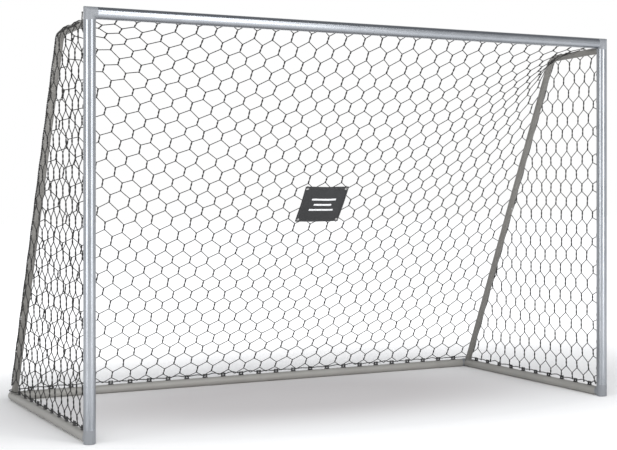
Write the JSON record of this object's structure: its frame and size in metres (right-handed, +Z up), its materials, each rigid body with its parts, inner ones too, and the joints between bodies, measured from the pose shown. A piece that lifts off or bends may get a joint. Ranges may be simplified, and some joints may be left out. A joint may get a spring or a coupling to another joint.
{
  "type": "soccer goal frame",
  "caption": "Free-standing football goal: round aluminium mouth on ground bars, bent rear stays, hexagonal net and a small tied panel.",
  "frame": {"origin": "on the ground, in the middle of the footprint", "axes": "+X along the goal line, left to right seen from the front; +Y from the mouth to the back; +Z up"},
  "size_m": [3.027, 1.4084, 2],
  "materials": {
    "anodised_tube": "satin clear anodised extrusion",
    "sleeve_tube": "mill finish",
    "base_tube": "warm grey satin powder coat",
    "stay_tube": "dark warm grey satin powder coat",
    "stay_plastic": "moulded, fine grain",
    "cap_plastic": "moulded, fine grain",
    "connector_plastic": "moulded, fine grain",
    "zinc_steel": "zinc plated",
    "button_steel": "bright plated",
    "spring_steel": "oiled spring strip",
    "clip_plastic": "moulded",
    "border_rope": "twisted polyethylene",
    "net_cord": "knotted polyethylene",
    "banner_fabric": "coated woven panel",
    "eyelet_metal": "pressed rings",
    "tie_cord": "thin ties"
  },
  "bodies": {
    "frame": {"back_net": "net_cord", "banner": "banner_fabric", "banner_eyelets": "eyelet_metal", "banner_ties": "tie_cord", "base_rope": "border_rope", "corner_screws": "zinc_steel", "crossbar_clips": "clip_plastic", "crossbar_left": "anodised_tube", "crossbar_right": "anodised_tube", "crossbar_sleeve": "sleeve_tube", "foot_screws": "zinc_steel", "left_button_spring": "spring_steel", "left_end_cap": "cap_plastic", "left_foot": "connector_plastic", "left_net": "net_cord", "left_net_clips": "clip_plastic", "left_post_clips": "clip_plastic", "left_post_lower": "anodised_tube", "left_post_sleeve": "sleeve_tube", "left_post_upper": "anodised_tube", "left_rear_socket": "connector_plastic", "left_side_bar": "base_tube", "left_stay_lower": "stay_tube", "left_stay_saddle": "stay_plastic", "left_stay_socket": "stay_plastic", "left_stay_upper": "stay_tube", "left_top_corner": "connector_plastic", "mouth_rope": "border_rope", "rear_bar_left": "base_tube", "rear_bar_right": "base_tube", "rear_bar_sleeve": "sleeve_tube", "rear_net_clips": "clip_plastic", "rear_screws": "zinc_steel", "right_button_spring": "spring_steel", "right_end_cap": "cap_plastic", "right_foot": "connector_plastic", "right_net": "net_cord", "right_net_clips": "clip_plastic", "right_post_clips": "clip_plastic", "right_post_lower": "anodised_tube", "right_post_sleeve": "sleeve_tube", "right_post_upper": "anodised_tube", "right_rear_socket": "connector_plastic", "right_side_bar": "base_tube", "right_stay_lower": "stay_tube", "right_stay_saddle": "stay_plastic", "right_stay_socket": "stay_plastic", "right_stay_upper": "stay_tube", "right_top_corner": "connector_plastic", "saddle_bolts": "zinc_steel", "seam_screws": "zinc_steel"},
    "left_button": {"left_snap_button": "button_steel"},
    "right_button": {"right_snap_button": "button_steel"}
  },
  "joints": [
    {"name": "left_button_press", "type": "slide", "parent": "frame", "child": "left_button", "axis": [0, 0.907, 0.421], "range_m": [0, 0.007], "stiffness_N_per_m": 1500, "springref_m": -0.003, "deforming": ["left_button_spring"]},
    {"name": "right_button_press", "type": "slide", "parent": "frame", "child": "right_button", "axis": [0, 0.907, 0.421], "range_m": [0, 0.007], "stiffness_N_per_m": 1500, "springref_m": -0.003, "deforming": ["right_button_spring"]}
  ]
}
